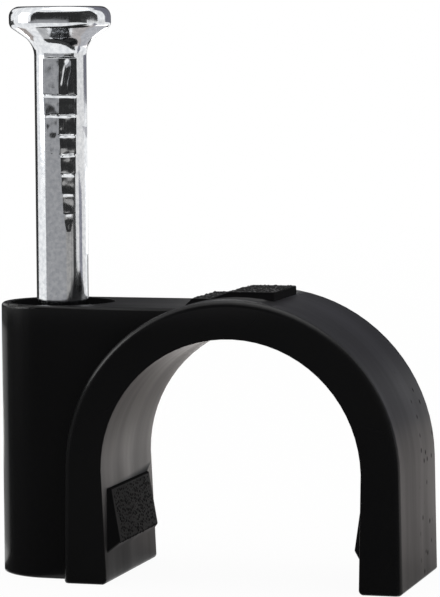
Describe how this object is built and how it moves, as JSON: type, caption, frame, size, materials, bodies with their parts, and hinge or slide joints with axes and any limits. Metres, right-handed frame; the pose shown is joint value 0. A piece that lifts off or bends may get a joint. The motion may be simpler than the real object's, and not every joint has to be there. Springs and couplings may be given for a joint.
{
  "type": "nail-in cable clip",
  "caption": "Black moulded hoop that holds a round cable to a wall, with grip wedges inside its legs and a boss that carries a ready fitted plated nail.",
  "frame": {"origin": "where the nail's axis meets the wall face, the plane that the feet and the boss stand on", "axes": "+Z along the nail, out of the wall; +X from the nail to the middle of the hoop; +Y along the cable"},
  "size_m": [0.0164, 0.0066, 0.0217],
  "materials": {
    "black_polyethylene": "moulded satin",
    "zinc_plated_steel": "bright zinc plated"
  },
  "bodies": {
    "root": {"clip_body": "black_polyethylene", "nail": "zinc_plated_steel"}
  },
  "joints": []
}
